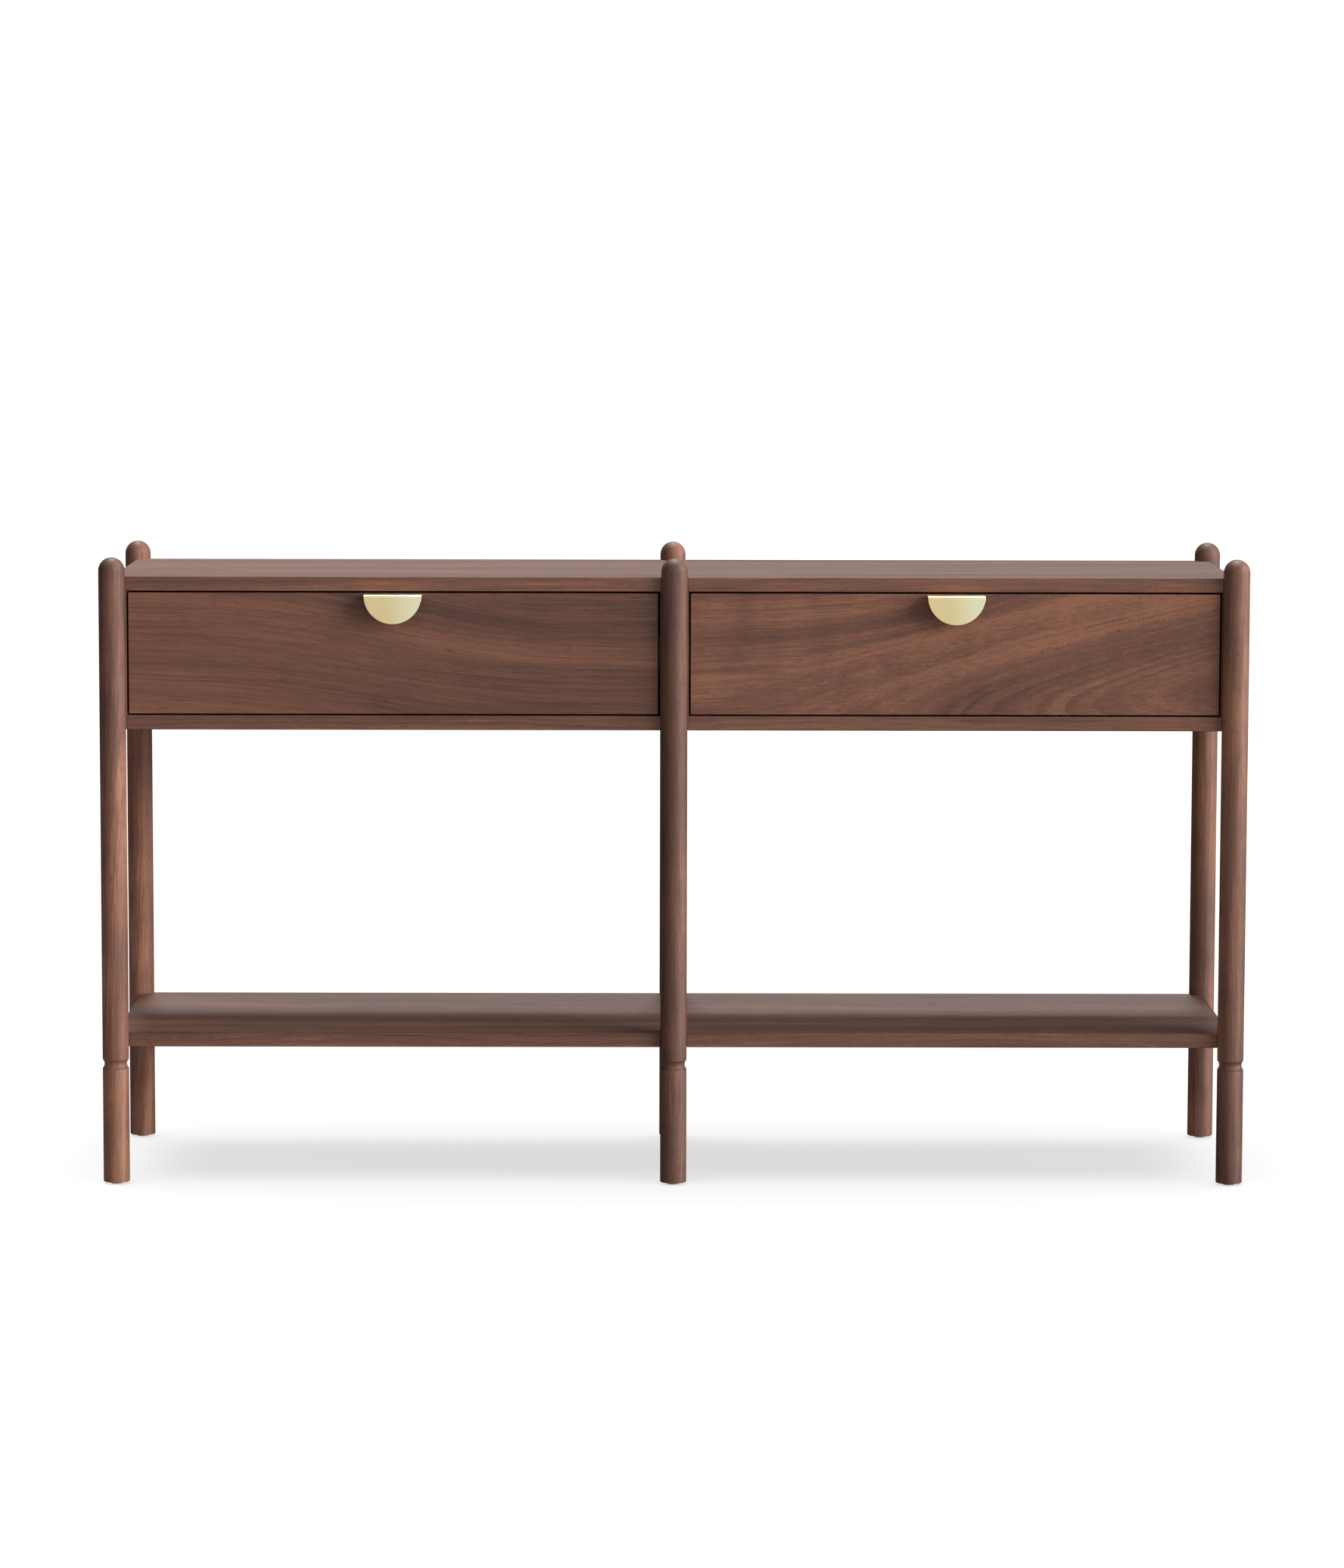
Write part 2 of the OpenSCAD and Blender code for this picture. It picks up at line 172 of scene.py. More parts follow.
def make_wood_figure():
    """Node group: growth rings round a leaning pith, colour bands, fibres and pores.
    Its point is in wood space: X along the grain, Y across the face, Z into the board."""
    tree = bpy.data.node_groups.new("wood_figure", "ShaderNodeTree")
    sockets = {"Point": "Vector", "Pith": "Vector", "Lean": "Vector", "Bend": "Vector",
               "Bend Start": "Float", "Bend End": "Float", "Ring": "Float", "Seed": "Float",
               "Curl": "Float", "Mottle": "Float", "Pale": "Float"}
    for name, kind in sockets.items():
        tree.interface.new_socket(name=name, in_out="INPUT", socket_type="NodeSocket" + kind)
    for name in ("Tone", "Pores", "Fibre"):
        tree.interface.new_socket(name=name, in_out="OUTPUT", socket_type="NodeSocketFloat")
    given = tree.nodes.new("NodeGroupInput").outputs

    # The grain leans against the board and may bend from one height to another along it
    along = add(tree, "SeparateXYZ", {"Vector": given["Point"]}).outputs["X"]
    lean = scaled(tree, given["Lean"], along)
    bent = remap(tree, along, given["Bend Start"], given["Bend End"])
    rise = scaled(tree, given["Bend"], bent)
    level = vector_calc(tree, "SUBTRACT", given["Point"], lean)
    level = vector_calc(tree, "SUBTRACT", level, rise)

    # It also wanders: a slow sweep and a shorter ripple
    shift = stretched(tree, given["Seed"], SEED_SHIFT)
    seeded_point = vector_calc(tree, "ADD", level, shift)
    half = (0.5, 0.5, 0.5)
    sweep = noise(tree, stretched(tree, seeded_point, SWEEP_SCALE), 1.0, 0.5, "Color")
    sweep = stretched(tree, vector_calc(tree, "SUBTRACT", sweep, half), SWEEP_SHIFT)
    ripple = noise(tree, stretched(tree, seeded_point, RIPPLE_SCALE), 2.0, 0.5, "Color")
    ripple = stretched(tree, vector_calc(tree, "SUBTRACT", ripple, half), RIPPLE_SHIFT)
    point = vector_calc(tree, "ADD", vector_calc(tree, "ADD", seeded_point, sweep), ripple)

    # Distance from the pith
    centre = vector_calc(tree, "ADD", given["Pith"], shift)
    off = stretched(tree, vector_calc(tree, "SUBTRACT", point, centre), (0.0, 1.0, 1.0))
    radius = vector_calc(tree, "LENGTH", off)
    seeded = calc(tree, "MULTIPLY", given["Seed"], SEED_STEP)

    def streaks(scale, detail, roughness=0.5):
        """Noise that follows the rings."""
        place = add(tree, "CombineXYZ", {"X": calc(tree, "MULTIPLY", along, scale[0]),
                                         "Y": calc(tree, "MULTIPLY", radius, scale[1]),
                                         "Z": seeded})
        return noise(tree, place.outputs[0], detail, roughness)

    # Rings darken slowly outwards and end sharply, some more than others
    in_rings = calc(tree, "DIVIDE", radius, given["Ring"])
    wide = calc(tree, "MULTIPLY", in_rings, RING_NOISE)
    uneven = noise(tree, add(tree, "CombineXYZ", {"X": wide, "Y": seeded}).outputs[0], 2.0)
    uneven = calc(tree, "MULTIPLY", uneven, RING_UNEVENNESS)
    phase = calc(tree, "FRACT", calc(tree, "ADD", in_rings, uneven))
    darkening = remap(tree, phase, RING_DARKENS, RING_DARKEST[0])
    late = calc(tree, "MULTIPLY", darkening, remap(tree, phase, 1.0, RING_DARKEST[1]))
    late = calc(tree, "MULTIPLY", late, remap(tree, streaks(PATCH_SCALE, 2.0), *PATCH_RANGE))
    bands = calc(tree, "SUBTRACT", streaks(BAND_SCALE, 6.0, 0.7), 0.5)

    # Fibres and pores, and a shimmer from curled and mottled grain
    fibre = noise(tree, stretched(tree, point, FIBRE_SCALE), 4.0, 0.6)
    fine = calc(tree, "SUBTRACT", fibre, 0.5)
    pores = remap(tree, noise(tree, stretched(tree, point, PORE_SCALE), 1.0), *PORE_RANGE)
    pores = calc(tree, "MULTIPLY", pores, remap(tree, phase, *PORE_FADE))
    curl = noise(tree, stretched(tree, point, CURL_SCALE), 2.0, 0.55)
    curl = calc(tree, "MULTIPLY", calc(tree, "SUBTRACT", curl, 0.5), given["Curl"])
    mottle = noise(tree, stretched(tree, seeded_point, MOTTLE_SCALE), 2.0, 0.6)
    mottle = calc(tree, "SUBTRACT", mottle, 0.5)
    shimmer = calc(tree, "MULTIPLY_ADD", mottle, given["Mottle"], curl)

    tone = calc(tree, "MULTIPLY_ADD", bands, BAND_TONE, MIDDLE_TONE)
    tone = calc(tree, "MULTIPLY_ADD", late, RING_TONE, tone)
    tone = calc(tree, "MULTIPLY_ADD", fine, FIBRE_TONE, tone)
    tone = calc(tree, "MULTIPLY_ADD", bent, given["Pale"], tone)
    tone = calc(tree, "ADD", shimmer, tone, clamp=True)
    out = tree.nodes.new("NodeGroupOutput")
    fill(tree, out.inputs, {"Tone": tone, "Pores": pores, "Fibre": fibre})
    return tree


WOOD_FIGURE = make_wood_figure()
# Object axes that become wood space's along, across and depth
GRAIN_AXES = {"x": "XZY", "y": "YXZ", "z": "ZXY"}
WALNUT_STOPS = (
    (0.15, srgb(82, 48, 36)),
    (0.40, srgb(108, 66, 48)),
    (0.60, srgb(122, 77, 56)),
    (0.88, srgb(154, 101, 72)),
)
BIRCH_STOPS = (
    (0.2, srgb(176, 146, 108)),
    (0.5, srgb(205, 177, 136)),
    (0.8, srgb(222, 198, 160)),
)
BEECH_STOPS = (
    (0.2, srgb(178, 136, 98)),
    (0.8, srgb(216, 180, 140)),
)


def wood(name, stops, grain, pith, lean=(0.0, 0.0), bend=(0.0, 0.0), bend_span=(0.0, 1.0),
         ring=4.5 * MM, seed=0.0, curl=0.12, mottle=0.3, pale=0.0, shade=1.0,
         tint=(1.0, 1.0, 1.0), roughness=(0.54, 0.68), pore_depth=0.6):
    """pith is where the pith passes the middle of the object, lean its slope, and bend how far it
    moves over bend_span of the grain axis. Each of them is given across and into the face.
    pale is the tone gained over bend_span, and tint weighs red, green and blue."""
    stops = [(at, tuple(shade * c * t for c, t in zip(colour, tint))) for at, colour in stops]
    material, tree, shader = new_material(name)
    place = add(tree, "TexCoord").outputs["Object"]
    parts = add(tree, "SeparateXYZ", {"Vector": place}).outputs
    turned = {key: parts[axis] for key, axis in zip("XYZ", GRAIN_AXES[grain])}
    figure = add(tree, "Group", {
        "Point": add(tree, "CombineXYZ", turned).outputs[0],
        "Pith": (0.0, *pith),
        "Lean": (0.0, *lean),
        "Bend": (0.0, *bend),
        "Bend Start": bend_span[0],
        "Bend End": bend_span[1],
        "Ring": ring,
        "Seed": seed,
        "Curl": curl,
        "Mottle": mottle,
        "Pale": pale,
    }, node_tree=WOOD_FIGURE)
    tone, pores, fibre = (figure.outputs[key] for key in ("Tone", "Pores", "Fibre"))
    pore_colour = (*(PORE_SHADE * c for c in stops[0][1]), 1.0)
    pore_share = calc(tree, "MULTIPLY", pores, pore_depth)
    rough = remap(tree, fibre, 0.25, 0.75, roughness[1], roughness[0], smooth=False)
    height = calc(tree, "MULTIPLY_ADD", pores, -1.0, calc(tree, "MULTIPLY", fibre, FIBRE_HEIGHT))
    bump = add(tree, "Bump", {"Height": height, "Strength": WOOD_BUMP,
                              "Distance": WOOD_BUMP_DEPTH})
    fill(tree, shader.inputs, {
        "Base Color": mix_colour(tree, pore_share, ramp(tree, tone, stops), pore_colour),
        "Roughness": calc(tree, "MULTIPLY_ADD", pores, PORE_ROUGHNESS, rough, clamp=True),
        "Specular IOR Level": 0.5,
        "Sheen Weight": 0.02,
        "Sheen Roughness": 0.5,
        "Normal": bump.outputs["Normal"],
    })
    return material


def walnut(name, grain, pith, **settings):
    return wood("walnut_" + name, WALNUT_STOPS, grain, pith, **settings)


def birch(name, grain, pith, **settings):
    return wood("birch_" + name, BIRCH_STOPS, grain, pith, ring=3 * MM, roughness=(0.35, 0.45),
                pore_depth=0.12, **settings)


def beech():
    return wood("beech", BEECH_STOPS, "z", (0.2, 0.3), ring=2 * MM, seed=8.0, roughness=(0.5, 0.6))


# ---- Metal and plastic ----

# Noise scales are per metre and shades are shares of the colour
METAL_CLOUD_SCALE = (38.0, 38.0, 38.0)
METAL_SHADE = 0.92
CLOUD_SHADE = 0.06
SCRATCH_SHADE = 0.10
CLOUD_ROUGHNESS = 0.06
SCRATCH_ROUGHNESS = 0.14
SCRATCH_BUMP = 0.03 * MM
NYLON_GRAIN_SCALE = (1400.0, 1400.0, 1400.0)
NYLON_CLOUD_SCALE = (90.0, 90.0, 90.0)
NYLON_CLOUD_SHADE = 0.88
NYLON_ROUGHNESS = (0.38, 0.55)
NYLON_BUMP = 0.05 * MM


def brushed_metal(name, colour, scratch_scale, roughness, painted_reflection_colour=None, span=(0.0, 1.0)):
    """Metal with fine parallel scratches; scratch_scale is large across and small along them.
    The tint may turn to a second, paler colour over a span of X, as a painted reflection."""
    material, tree, shader = new_material(name)
    place = add(tree, "TexCoord").outputs["Object"]
    scratch = noise(tree, stretched(tree, place, scratch_scale), 3.0, 0.6)
    cloud = noise(tree, stretched(tree, place, METAL_CLOUD_SCALE), 3.0, 0.5)
    tint = (*colour, 1.0)
    # Painted reflection: the tint turns paler along X
    if painted_reflection_colour:
        x = add(tree, "SeparateXYZ", {"Vector": place}).outputs["X"]
        tint = mix_colour(tree, remap(tree, x, *span), tint, (*painted_reflection_colour, 1.0))
    shade = calc(tree, "MULTIPLY_ADD", cloud, CLOUD_SHADE, METAL_SHADE)
    shade = calc(tree, "MULTIPLY_ADD", scratch, SCRATCH_SHADE, shade)
    grey = add(tree, "CombineColor", {"Red": shade, "Green": shade, "Blue": shade}).outputs[0]
    rough = calc(tree, "MULTIPLY_ADD", cloud, CLOUD_ROUGHNESS, roughness - 0.1)
    bump = add(tree, "Bump", {"Height": scratch, "Strength": 0.12, "Distance": SCRATCH_BUMP})
    fill(tree, shader.inputs, {
        "Base Color": mix_colour(tree, 1.0, tint, grey, "MULTIPLY"),
        "Metallic": 1.0,
        "Roughness": calc(tree, "MULTIPLY_ADD", scratch, SCRATCH_ROUGHNESS, rough),
        "Normal": bump.outputs["Normal"],
    })
    return material


def satin_brass(bay):
    """Brass with a painted reflection that makes it a little paler towards the right end of the
    pull.
    """
    low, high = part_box(f"drawer_{bay}_pull")
    width = high.x - low.x
    span = (low.x + 0.3 * width, low.x + 0.95 * width)
    # The paler right end of each pull is a painted reflection
    return brushed_metal(f"satin_brass_{bay}", srgb(232, 212, 159), (30.0, 30.0, 2600.0), 0.42,
                         painted_reflection_colour=srgb(239, 237, 199), span=span)


# Black zinc finish whose near-black colour is also a painted shade, so the slides show only as shade
# in the drawer gaps
def black_zinc_gap_shade_steel():
    return brushed_metal("black_zinc_gap_shade_steel", (0.065, 0.066, 0.072), (1800.0, 22.0, 1800.0), 0.36)


def grey_nylon():
    """Moulded plastic with a fine grain."""
    material, tree, shader = new_material("grey_nylon")
    place = add(tree, "TexCoord").outputs["Object"]
    texture = noise(tree, stretched(tree, place, NYLON_GRAIN_SCALE), 2.0)
    cloud = noise(tree, stretched(tree, place, NYLON_CLOUD_SCALE), 2.0)
    colour = srgb(176, 173, 168)
    stops = ((0.3, tuple(c * NYLON_CLOUD_SHADE for c in colour)), (0.7, colour))
    bump = add(tree, "Bump", {"Height": texture, "Strength": 0.25, "Distance": NYLON_BUMP})
    fill(tree, shader.inputs, {
        "Base Color": ramp(tree, cloud, stops),
        "Roughness": remap(tree, texture, 0.3, 0.7, *NYLON_ROUGHNESS),
        "Normal": bump.outputs["Normal"],
    })
    return material


# ---- Mesh pieces ----

def new_piece(name, mesh_bm, body, replaced, material, smooth_angle=None):
    """Turns a bmesh into a piece that rides on a body and stands for CAD nodes."""
    bmesh.ops.recalc_face_normals(mesh_bm, faces=mesh_bm.faces)
    mesh = bpy.data.meshes.new(name)
    mesh_bm.to_mesh(mesh)
    mesh_bm.free()
    mesh.materials.append(material)
    mesh.shade_smooth()
    if smooth_angle:
        mesh.set_sharp_from_angle(angle=math.radians(smooth_angle))
    piece = bpy.data.objects.new(name, mesh)
    bpy.context.scene.collection.objects.link(piece)
    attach(piece, body)
    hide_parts(*replaced)
    return piece


def arc(centre, radius, start, end, count):
    """Points (r, z) of an arc in a lathe profile, angles in degrees from +r towards +z."""
    turns = [math.radians(start + (end - start) * i / count) for i in range(count + 1)]
    return [(centre[0] + radius * math.cos(t), centre[1] + radius * math.sin(t)) for t in turns]


def straight(start, end, count):
    """Points (r, z) between two points, the first left out."""
    return [tuple(Vector(start).lerp(Vector(end), (i + 1) / count)) for i in range(count)]


def lathe(bm, centre, profile, segments=96):
    """Turns a profile of (r, z) points about a vertical axis. A radius of 0 closes an end."""
    rings = []
    for r, z in profile:
        if r < 1e-9:
            rings.append([bm.verts.new((centre[0], centre[1], z))])
            continue
        turns = [2 * math.pi * i / segments for i in range(segments)]
        rings.append([bm.verts.new((centre[0] + r * math.cos(t), centre[1] + r * math.sin(t), z))
                      for t in turns])
    for low, high in zip(rings, rings[1:]):
        for i in range(segments):
            j = (i + 1) % segments
            corners = [low[i % len(low)], low[j % len(low)],
                       high[j % len(high)], high[i % len(high)]]
            bm.faces.new(list(dict.fromkeys(corners)))


def node_axis(name):
    """(axis x, axis y), radius, lowest z, highest z of an upright round node."""
    low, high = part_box(name)
    return ((low.x + high.x) / 2, (low.y + high.y) / 2), (high.x - low.x) / 2, low.z, high.z


# Posts, feet and pads. The cove is cut beside the joint, a lip is the eased edge above or below
# it, and the bores take the stud, its threaded sleeve and the pad's nail
COVE_H = 12 * MM
COVE_DEPTH = 2.5 * MM
COVE_ARC = 0.9
LIP_R = 0.5 * MM
LIP_SLOPE = 0.6
JOINT_EASE = 0.35 * MM
FOOT_EASE = 0.8 * MM
PAD_EASE = 0.9 * MM
STUD_R = 4.05 * MM
STUD_BORE = 25.5 * MM
INSERT_R = 6.05 * MM
INSERT_BORE = 25 * MM
NAIL_R = 1.25 * MM
NAIL_BORE_R = 1.3 * MM
NAIL_BORE = 15.5 * MM
SHAFT_STEP = 40 * MM
TURNED_SMOOTH = 45


def make_turning(name, axis, profile, material):
    bm = bmesh.new()
    lathe(bm, axis, profile)
    new_piece("turned_" + name, bm, "frame", [name], material, TURNED_SMOOTH)


def make_post(side, depth, material):
    name = f"post_{depth}_{side}"
    axis, r, joint, top = node_axis(name)
    cove_r = (COVE_H ** 2 / 4 + COVE_DEPTH ** 2) / (2 * COVE_DEPTH)
    cove_centre = (r - COVE_DEPTH + cove_r, joint + COVE_H / 2)
    cove_half = math.degrees(math.asin(COVE_H / 2 / cove_r)) * COVE_ARC
    lip_centre = (r - LIP_R, joint + COVE_H + LIP_R * LIP_SLOPE)
    profile = [(0.0, joint + STUD_BORE), (STUD_R, joint + STUD_BORE), (STUD_R, joint)]
    profile += [(r - JOINT_EASE - LIP_R, joint), (r - LIP_R, joint + JOINT_EASE * LIP_SLOPE)]
    profile += arc(cove_centre, cove_r, 180 + cove_half, 180 - cove_half, 20)
    profile += arc(lip_centre, LIP_R, -40, 0, 5)
    shaft_start = profile[-1]
    dome_z = top - r
    shaft_parts = round((dome_z - shaft_start[1]) / SHAFT_STEP)
    profile += straight(shaft_start, (r, dome_z), shaft_parts)
    profile += arc((0.0, dome_z), r, 0, 88, 30)[1:] + [(0.0, top)]
    make_turning(name, axis, profile, material)


def make_foot(side, depth, material):
    name = f"foot_{depth}_{side}"
    axis, r, low, joint = node_axis(name)
    profile = [(0.0, low + NAIL_BORE), (NAIL_BORE_R, low + NAIL_BORE), (NAIL_BORE_R, low)]
    profile += arc((r - FOOT_EASE, low + FOOT_EASE), FOOT_EASE, -90, 0, 6)
    profile += straight((r, low + FOOT_EASE), (r, joint - JOINT_EASE), 4)
    profile += arc((r - JOINT_EASE, joint - JOINT_EASE), JOINT_EASE, 0, 90, 5)[1:]
    profile += [(INSERT_R, joint), (INSERT_R, joint - INSERT_BORE), (0.0, joint - INSERT_BORE)]
    make_turning(name, axis, profile, material)


def make_glides(material):
    """The six pads and their nails as one piece."""
    low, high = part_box("foot_glides")
    foot_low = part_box("foot_front_left")[0].z
    r = high.x - node_axis("foot_front_right")[0][0]
    profile = [(0.0, low.z), (r - PAD_EASE, low.z)]
    profile += arc((r - PAD_EASE, low.z + PAD_EASE), PAD_EASE, -90, 0, 6)[1:]
    profile += [(r, foot_low), (NAIL_R, foot_low)]
    profile += [(NAIL_R, high.z - 2 * NAIL_R), (0.0, high.z)]
    bm = bmesh.new()
    for side in SIDES:
        for depth in DEPTHS:
            lathe(bm, node_axis(f"foot_{depth}_{side}")[0], profile, 48)
    new_piece("floor_pads", bm, "frame", ["foot_glides"], material, 40)


# Pulls. A boss is sunk into the plate and stands a little below the ledge
PULL_T = 2.5 * MM
PULL_BEND = 2.2 * MM
PULL_INNER_BEND = 0.6 * MM
PULL_EDGE = 0.45 * MM
BEND_STEPS = 8
RIM_STEPS = 56
BOSS_R = 4.5 * MM
BOSS_EASE = 0.3 * MM
BOSS_SINK = 0.3 * MM
BOSS_OVERLAP = 0.5 * MM
BOSS_PITCH = 32 * MM
BOSS_BORE_R = 2.05 * MM
BOSS_BORE = 16 * MM


def make_pull(bay, material):
    """Half-round plate and ledge bent from one sheet. The plate is a half disc, and the bend and
    the ledge above it are swept straight across."""
    node = f"drawer_{bay}_pull"
    low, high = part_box(node)
    centre_x = (low.x + high.x) / 2
    r = (high.x - low.x) / 2

    def skin_points(depth, bend_r):
        """Points (y, z) of the skin at a depth in the sheet, from the ledge down to the plate."""
        y = low.y + depth + bend_r
        z = high.z - depth - bend_r
        turns = [math.radians(90 + 90 * i / BEND_STEPS) for i in range(BEND_STEPS + 1)]
        bend = [(y + bend_r * math.cos(t), z + bend_r * math.sin(t)) for t in turns]
        return [(high.y, high.z - depth)] + bend

    outer = skin_points(0.0, PULL_BEND)
    inner = skin_points(PULL_T, PULL_INNER_BEND)
    bend_z = min(outer[-1][1], inner[-1][1])
    first = math.asin((high.z - bend_z) / r)
    angles = [first + (math.pi - 2 * first) * i / RIM_STEPS for i in range(RIM_STEPS + 1)]
    rim = [(centre_x + r * math.cos(a), high.z - r * math.sin(a)) for a in angles]
    bm = bmesh.new()
    front = [bm.verts.new((x, low.y, z)) for x, z in rim]
    back = [bm.verts.new((x, low.y + PULL_T, z)) for x, z in rim]
    bm.faces.new(front)
    bm.faces.new(list(reversed(back)))
    for i in range(RIM_STEPS):
        bm.faces.new([front[i], front[i + 1], back[i + 1], back[i]])

    def skin(points, plate):
        """Vertices at the right and left edge for each point, the last ones being the plate's."""
        pairs = []
        for y, z in points[:-1]:
            half = math.sqrt(max(r * r - (high.z - z) ** 2, 0.0))
            pairs.append([bm.verts.new((centre_x + x, y, z)) for x in (half, -half)])
        return pairs + [[plate[0], plate[-1]]]

    outer_pairs = skin(outer, front)
    inner_pairs = skin(inner, back)
    for pairs in (outer_pairs, inner_pairs):
        for (a, b), (c, d) in zip(pairs, pairs[1:]):
            bm.faces.new([a, b, d, c])
    for end in (0, 1):
        for i in range(BEND_STEPS + 1):
            bm.faces.new([outer_pairs[i][end], outer_pairs[i + 1][end],
                          inner_pairs[i + 1][end], inner_pairs[i][end]])
    bm.faces.new([*outer_pairs[0], *reversed(inner_pairs[0])])
    piece = new_piece("bent_" + node, bm, f"drawer_{bay}", [node], material)
    ease_edges(piece, PULL_EDGE, 3)


def make_bosses(bay, material):
    """Two tapped bosses that are cast on behind the plate, as a piece of their own."""
    node = f"drawer_{bay}_pull"
    low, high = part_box(node)
    centre_x = (low.x + high.x) / 2
    boss_z = high.z - PULL_T - BOSS_R + BOSS_OVERLAP
    length = high.y - (low.y + PULL_T)
    profile = [(0.0, BOSS_BORE), (BOSS_BORE_R, BOSS_BORE), (BOSS_BORE_R, 0.0)]
    profile += [(BOSS_R - BOSS_EASE, 0.0), (BOSS_R, BOSS_EASE), (BOSS_R, length)]
    profile += [(BOSS_R, length + BOSS_SINK), (0.0, length + BOSS_SINK)]
    bm = bmesh.new()
    for side in (-1, 1):
        done = len(bm.verts)
        lathe(bm, (0.0, 0.0), profile, 40)
        for vertex in list(bm.verts)[done:]:
            x, y, z = vertex.co
            vertex.co = (centre_x + side * BOSS_PITCH / 2 + x, high.y - z, boss_z + y)
    new_piece(f"bosses_{node}", bm, f"drawer_{bay}", [node], material, 40)


def ease_edges(piece, width, segments):
    """Rounds a piece's sharp edges with modifiers, joining split vertices first."""
    weld = piece.modifiers.new("weld", "WELD")
    weld.merge_threshold = 0.005 * MM
    flat = piece.modifiers.new("flat", "DECIMATE")
    flat.decimate_type = "DISSOLVE"
    flat.angle_limit = math.radians(0.5)
    bevel = piece.modifiers.new("ease", "BEVEL")
    bevel.width = width
    bevel.segments = segments
    bevel.limit_method = "ANGLE"
    bevel.angle_limit = math.radians(50)
    bevel.use_clamp_overlap = False
    bevel.harden_normals = True


def dress(name, material, ease=None):
    """Gives a CAD node its material and, where it shows, eased edges."""
    node = nodes[name]
    node.data.materials.clear()
    node.data.materials.append(material)
    if ease:
        ease_edges(node, ease, 2)


# ---- Pieces and their materials ----

STEEL = black_zinc_gap_shade_steel()
PLASTIC = grey_nylon()
BIRCH_X = birch("across", "x", (0.35, 0.42), lean=(0.01, 0.0), seed=3.0)
BIRCH_Y = birch("lengthwise", "y", (0.9, 0.30), lean=(0.0, 0.01), seed=5.0)
BEECH = beech()

BOARD_EASE = 0.8 * MM
FRONT_EASE = 0.6 * MM
STEEL_EASE = 0.2 * MM

FRONT_LOOKS = dict(ring=7 * MM, tint=(1.0, 0.94, 0.90))
LEG_RING = 3.6 * MM
LEG_TINT = (1.0, 1.04, 1.08)
# The turnings' piths lie this far from their axes, give or take
PITH_AWAY = 0.055
PITH_VARIES = 0.02
LEG_LEAN = 0.018
LEG_LOOKS = {
    ("front", "left"): dict(shade=1.42, bend_span=(0.45, 0.72), pale=-0.25),
    ("front", "center"): dict(shade=0.88),
    ("front", "right"): dict(shade=1.06),
    ("rear", "left"): dict(shade=1.5),
    ("rear", "center"): dict(shade=1.2),
    ("rear", "right"): dict(shade=1.28),
}


def make_legs():
    """Each post and each foot is turned from a blank of its own, so each has its own figure.
    Sines of the running count stand in for chance."""
    count = 0
    for depth in DEPTHS:
        for side in SIDES:
            axis = node_axis(f"post_{depth}_{side}")[0]
            for maker, part in ((make_post, "post"), (make_foot, "foot")):
                count += 1
                away = PITH_AWAY + PITH_VARIES * math.sin(2.1 * count)
                bearing = 2.4 * count
                pith = (axis[0] + away * math.cos(bearing), axis[1] + away * math.sin(bearing))
                lean = (LEG_LEAN * math.sin(1.7 * count), LEG_LEAN * math.cos(2.9 * count))
                material = walnut(f"{part}_{depth}_{side}", "z", pith, lean=lean, ring=LEG_RING,
                                  seed=0.77 * count, curl=0.25, mottle=1.1, tint=LEG_TINT,
                                  **LEG_LOOKS[depth, side])
                maker(side, depth, material)


def make_case():
    looks = {
        "top_board": dict(grain="x", pith=(0.18, 0.62), lean=(0.010, 0.004), seed=1.3,
                          bend_span=(-0.7, 0.7), pale=-0.1, shade=1.28),
        "bottom_board": dict(grain="x", pith=(0.40, 0.10), lean=(-0.012, 0.0), seed=2.9,
                             bend_span=(-0.5, 0.7), pale=-0.2, shade=1.4),
        "shelf": dict(grain="x", pith=(-0.06, 0.16), lean=(0.020, 0.010), seed=4.1, shade=0.94),
        "side_board_left": dict(grain="z", pith=(-0.7, 0.25), lean=(0.0, 0.03), seed=5.2),
        "side_board_right": dict(grain="z", pith=(0.7, -0.25), lean=(0.0, 0.03), seed=6.4),
        "divider_board_left": dict(grain="z", pith=(-0.1, 0.25), lean=(0.0, 0.02), seed=7.7),
        "divider_board_right": dict(grain="z", pith=(0.1, 0.22), lean=(0.0, 0.02), seed=8.8),
        "back_panel_left": dict(grain="x", pith=(0.45, 0.30), lean=(0.02, 0.0), seed=9.1),
        "back_panel_right": dict(grain="x", pith=(0.50, 0.28), lean=(-0.02, 0.0), seed=10.6),
    }
    for name, settings in looks.items():
        dress(name, walnut(name, **settings), BOARD_EASE)
    for name in ("case_dowels", "post_dowels"):
        dress(name, BEECH)
    for name in ("foot_studs", "foot_inserts", "post_screws", "rail_screws"):
        dress(name, STEEL)


def make_drawers():
    fronts = {
        "left": walnut("front_left", "x", (0.38, 0.05), lean=(-0.03, 0.0), bend=(-0.055, 0.0),
                       bend_span=(-0.62, -0.16), seed=2.2, pale=-0.12, shade=1.16, **FRONT_LOOKS),
        "right": walnut("front_right", "x", (0.60, -0.052), lean=(0.03, 0.0), bend=(0.05, -0.10),
                        bend_span=(0.10, 0.95), seed=6.1, curl=0.35, pale=0.14, shade=1.07,
                        **FRONT_LOOKS),
    }
    for bay in BAYS:
        drawer = f"drawer_{bay}"
        dress(f"{drawer}_front", fronts[bay], FRONT_EASE)
        for part in ("side_left", "side_right", "bottom"):
            dress(f"{drawer}_{part}", BIRCH_Y, BOARD_EASE if part != "bottom" else None)
        dress(f"{drawer}_back", BIRCH_X, BOARD_EASE)
        dress(f"{drawer}_dowels", BEECH)
        for part in ("pull_screws", "runner_screws"):
            dress(f"{drawer}_{part}", STEEL)
        for wall in BAYS:
            for part in (f"{drawer}_runner", f"slider_{bay}_bay", f"rail_{bay}_bay"):
                dress(f"{part}_{wall}", STEEL, STEEL_EASE)
        brass = satin_brass(bay)
        make_pull(bay, brass)
        make_bosses(bay, brass)


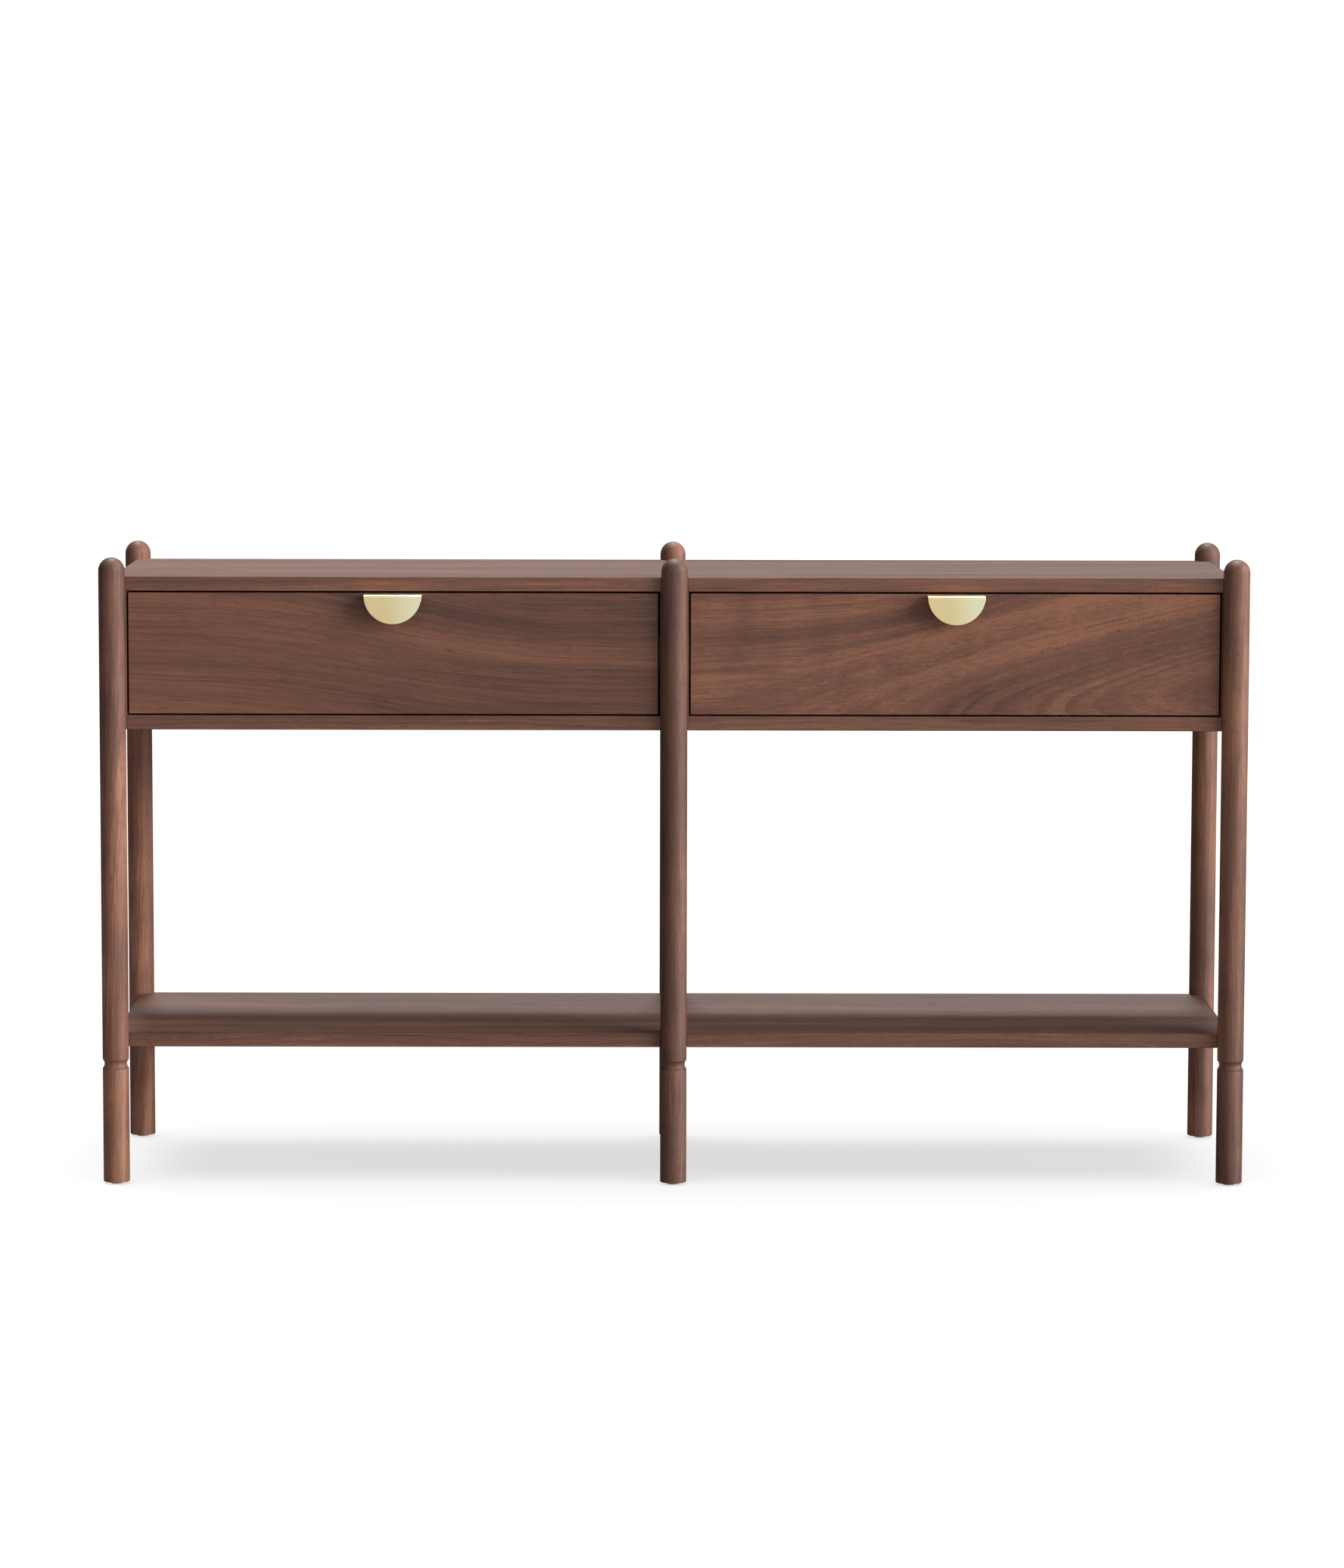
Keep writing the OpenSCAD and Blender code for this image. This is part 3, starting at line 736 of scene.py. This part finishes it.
make_legs()
make_glides(PLASTIC)
make_case()
make_drawers()


# ---- Stage, light and camera ----

FLOOR_R = 60.0
FLOOR_GREY = 0.42
FLOOR_GLOW = 0.67
WORLD_LEVEL = 0.3
# Added to the world's level for rays straight from the camera, and for reflections
CAMERA_GAIN = 0.7
REFLECTION_GAIN = -0.22
CARD_PLACE = (0.0, -9.0, 6.0)
CARD_SIZE = (14.0, 16.0)
CARD_POWER = 600.0


def make_floor():
    """Pale floor that shows only a soft shadow below the object."""
    bm = bmesh.new()
    lathe(bm, (0.0, 0.0), [(0.0, 0.0), (FLOOR_R, 0.0)], 128)
    mesh = bpy.data.meshes.new("floor")
    bm.to_mesh(mesh)
    bm.free()
    floor = bpy.data.objects.new("floor", mesh)
    bpy.context.scene.collection.objects.link(floor)
    floor.visible_diffuse = False
    floor.visible_glossy = False
    material, tree, shader = new_material("floor")
    fill(tree, shader.inputs, {
        "Base Color": (FLOOR_GREY, FLOOR_GREY, FLOOR_GREY, 1.0),
        "Roughness": 0.9,
        "Specular IOR Level": 0.0,
        "Emission Color": (1.0, 1.0, 1.0, 1.0),
        "Emission Strength": FLOOR_GLOW,
    })
    mesh.materials.append(material)
    return floor


def sun(name, azimuth, elevation, strength, spread, only=None, spared=None, sheen_only=False):
    """Light from an azimuth (from the front towards the right) and an elevation, in degrees.
    It can be kept to one object, kept off one, or only show as a reflection."""
    light = bpy.data.lights.new(name, "SUN")
    light.energy = strength
    light.angle = math.radians(spread)
    lamp = bpy.data.objects.new(name, light)
    a = math.radians(azimuth)
    e = math.radians(elevation)
    source = Vector((math.sin(a) * math.cos(e), -math.cos(a) * math.cos(e), math.sin(e)))
    lamp.rotation_euler = source.to_track_quat("Z", "Y").to_euler()
    lamp.visible_diffuse = not sheen_only
    bpy.context.scene.collection.objects.link(lamp)
    if only or spared:
        receivers = bpy.data.collections.new(f"{name}_receivers")
        receivers.objects.link(only or spared)
        linked = receivers.collection_objects[0]
        linked.light_linking.link_state = "INCLUDE" if only else "EXCLUDE"
        lamp.light_linking.receiver_collection = receivers


def front_card():
    """A white card behind the camera, which only shows as a reflection."""
    light = bpy.data.lights.new("front_card", "AREA")
    light.shape = "RECTANGLE"
    light.size, light.size_y = CARD_SIZE
    light.energy = CARD_POWER
    lamp = bpy.data.objects.new("front_card", light)
    lamp.location = CARD_PLACE
    lamp.rotation_euler = (math.radians(90), 0.0, 0.0)
    lamp.visible_diffuse = False
    lamp.visible_camera = False
    bpy.context.scene.collection.objects.link(lamp)


def make_lights(floor):
    sun("key", 66, 10, 4.0, 52, spared=floor)
    sun("key_sheen", 74, 20, 2.5, 52, spared=floor, sheen_only=True)
    sun("back", 180, 66, 1.1, 11, spared=floor)
    sun("back_sheen", 180, 66, 3.3, 11, spared=floor, sheen_only=True)
    sun("overhead", 0, 90, 2.5, 64, only=floor)
    front_card()


def make_world():
    """White where the camera looks past the floor, and elsewhere an even light that is dimmer
    still in reflections."""
    world = bpy.data.worlds.new("studio")
    world.use_nodes = True
    bpy.context.scene.world = world
    tree = world.node_tree
    tree.nodes.clear()
    rays = add(tree, "LightPath").outputs
    level = calc(tree, "MULTIPLY_ADD", rays["Is Camera Ray"], CAMERA_GAIN, WORLD_LEVEL)
    level = calc(tree, "MULTIPLY_ADD", rays["Is Glossy Ray"], REFLECTION_GAIN, level)
    room = add(tree, "Background", {"Color": (1.0, 1.0, 1.0, 1.0), "Strength": level})
    add(tree, "OutputWorld", {"Surface": room.outputs[0]})


# Camera fitted to the photo, angles in radians
CAMERA_PLACE = (-0.0426, -7.0531, 1.2769)
CAMERA_YAW = 0.0058
CAMERA_PITCH = 0.1073
CAMERA_ROLL = 0.0024
SENSOR = 36.0
LENS = 119.75


def make_camera():
    """View from the front, a little above the table top."""
    data = bpy.data.cameras.new("camera")
    data.sensor_width = SENSOR
    data.lens = LENS
    data.clip_end = 200.0
    camera = bpy.data.objects.new("camera", data)
    forward = Vector((math.sin(CAMERA_YAW) * math.cos(CAMERA_PITCH),
                      math.cos(CAMERA_YAW) * math.cos(CAMERA_PITCH), -math.sin(CAMERA_PITCH)))
    level = Vector((math.cos(CAMERA_YAW), -math.sin(CAMERA_YAW), 0.0))
    upright = level.cross(forward)
    right = math.cos(CAMERA_ROLL) * level + math.sin(CAMERA_ROLL) * upright
    up = math.cos(CAMERA_ROLL) * upright - math.sin(CAMERA_ROLL) * level
    turn = Matrix((right, up, -forward)).transposed().to_4x4()
    camera.matrix_world = Matrix.Translation(CAMERA_PLACE) @ turn
    bpy.context.scene.collection.objects.link(camera)
    bpy.context.scene.camera = camera


make_lights(make_floor())
make_world()
make_camera()
bpy.context.scene.view_settings.view_transform = "Standard"

bpy.context.view_layer.update()
